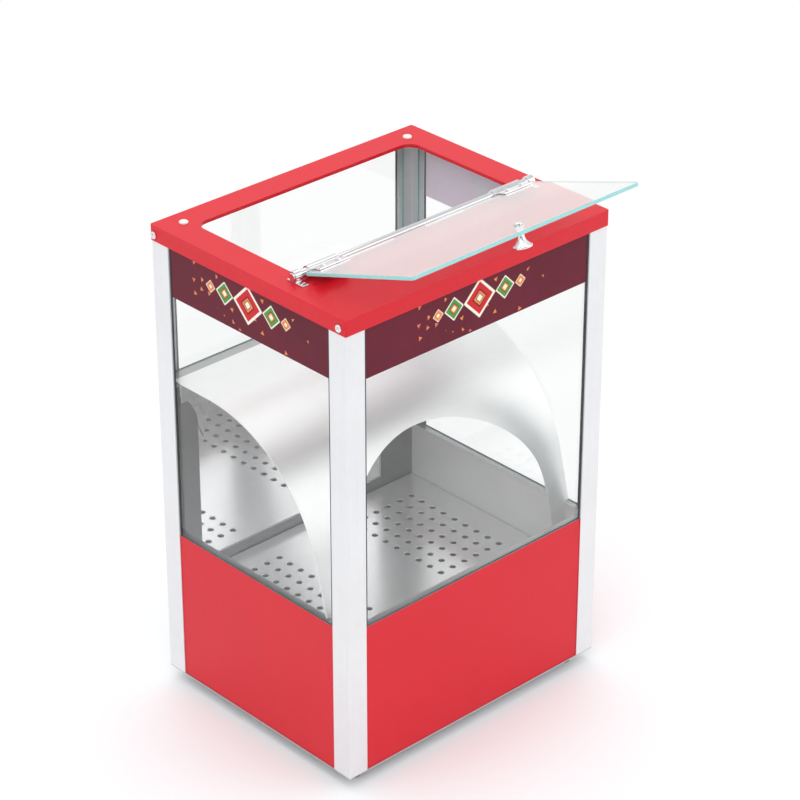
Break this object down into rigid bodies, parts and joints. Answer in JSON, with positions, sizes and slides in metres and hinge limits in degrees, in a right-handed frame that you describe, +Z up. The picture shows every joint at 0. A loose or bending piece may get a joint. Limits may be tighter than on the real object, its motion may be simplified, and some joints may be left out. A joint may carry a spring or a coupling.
{
  "type": "chip warmer",
  "caption": "Counter-top glazed warmer with a red top frame, open glass lid, curved inner slide with an arch mouth, perforated floor and a rear serving flap.",
  "frame": {"origin": "centre of the base plate's underside", "axes": "+Z up, -Y towards the customer's front with the sign, +X to the right seen from the front; the rear flap is on +Y"},
  "size_m": [0.3748, 0.3951, 0.6222],
  "materials": {
    "red_enamel": "gloss enamel",
    "pale_screw": "satin",
    "bright_chrome": "polished",
    "silver_post": "satin anodised",
    "seal_rubber": "matte",
    "clear_glass": "clear float glass",
    "sign_print": "printed film",
    "bright_sheet": "bright polished sheet",
    "casing_sheet": "gloss enamel",
    "plain_sheet": "mill finish",
    "heater_sheath": "heat-tinted",
    "dark_plastic": "satin black"
  },
  "bodies": {
    "cabinet": {"top_frame": "red_enamel", "top_screws": "pale_screw", "skirt_screws": "bright_chrome", "hinge_bar": "bright_chrome", "hinge_brackets": "bright_chrome", "flap_pins": "bright_chrome", "post_front_left": "silver_post", "post_front_right": "silver_post", "post_rear_left": "silver_post", "post_rear_right": "silver_post", "pane_gaskets": "seal_rubber", "feet": "seal_rubber", "glass_front": "clear_glass", "glass_left": "clear_glass", "glass_right": "clear_glass", "glass_rear": "clear_glass", "lamp_tube": "clear_glass", "sign_front": "sign_print", "sign_left": "sign_print", "sign_right": "sign_print", "chip_slide": "bright_sheet", "sill_rail": "bright_sheet", "flap_brackets": "bright_sheet", "perforated_floor": "bright_sheet", "front_panel": "casing_sheet", "left_panel": "casing_sheet", "right_panel": "casing_sheet", "rear_panel": "plain_sheet", "base_plate": "plain_sheet", "floor_supports": "plain_sheet", "control_box": "plain_sheet", "tray_runners": "plain_sheet", "heater_clips": "plain_sheet", "lamp_housing": "plain_sheet", "heater_element": "heater_sheath", "thermostat": "dark_plastic", "switch_bodies": "dark_plastic", "cord_gland": "dark_plastic", "lamp_holders": "dark_plastic"},
    "lid": {"lid_glass": "clear_glass", "hinge_clamps": "bright_chrome", "lid_knob": "bright_chrome", "knob_screw": "bright_chrome"},
    "flap": {"rear_flap": "bright_sheet", "flap_handle": "bright_chrome"},
    "tray": {"crumb_tray": "plain_sheet", "tray_pull": "bright_chrome"},
    "power_switch": {"power_rocker": "dark_plastic"},
    "light_switch": {"light_rocker": "dark_plastic"}
  },
  "joints": [
    {"name": "lid_hinge", "type": "hinge", "parent": "cabinet", "child": "lid", "pos_m": [0, -0.053, 0.5515], "axis": [1, 0, 0], "range_deg": [-163, 0]},
    {"name": "flap_hinge", "type": "hinge", "parent": "cabinet", "child": "flap", "pos_m": [0, 0.15145, 0.348], "axis": [1, 0, 0], "range_deg": [0, 95]},
    {"name": "tray_slide", "type": "slide", "parent": "cabinet", "child": "tray", "axis": [0, 1, 0], "range_m": [0, 0.2]},
    {"name": "power_rocker_pivot", "type": "hinge", "parent": "cabinet", "child": "power_switch", "pos_m": [0.12, 0.1446, 0.072], "axis": [1, 0, 0], "range_deg": [0, 16]},
    {"name": "light_rocker_pivot", "type": "hinge", "parent": "cabinet", "child": "light_switch", "pos_m": [0.142, 0.1446, 0.072], "axis": [1, 0, 0], "range_deg": [0, 16]}
  ]
}
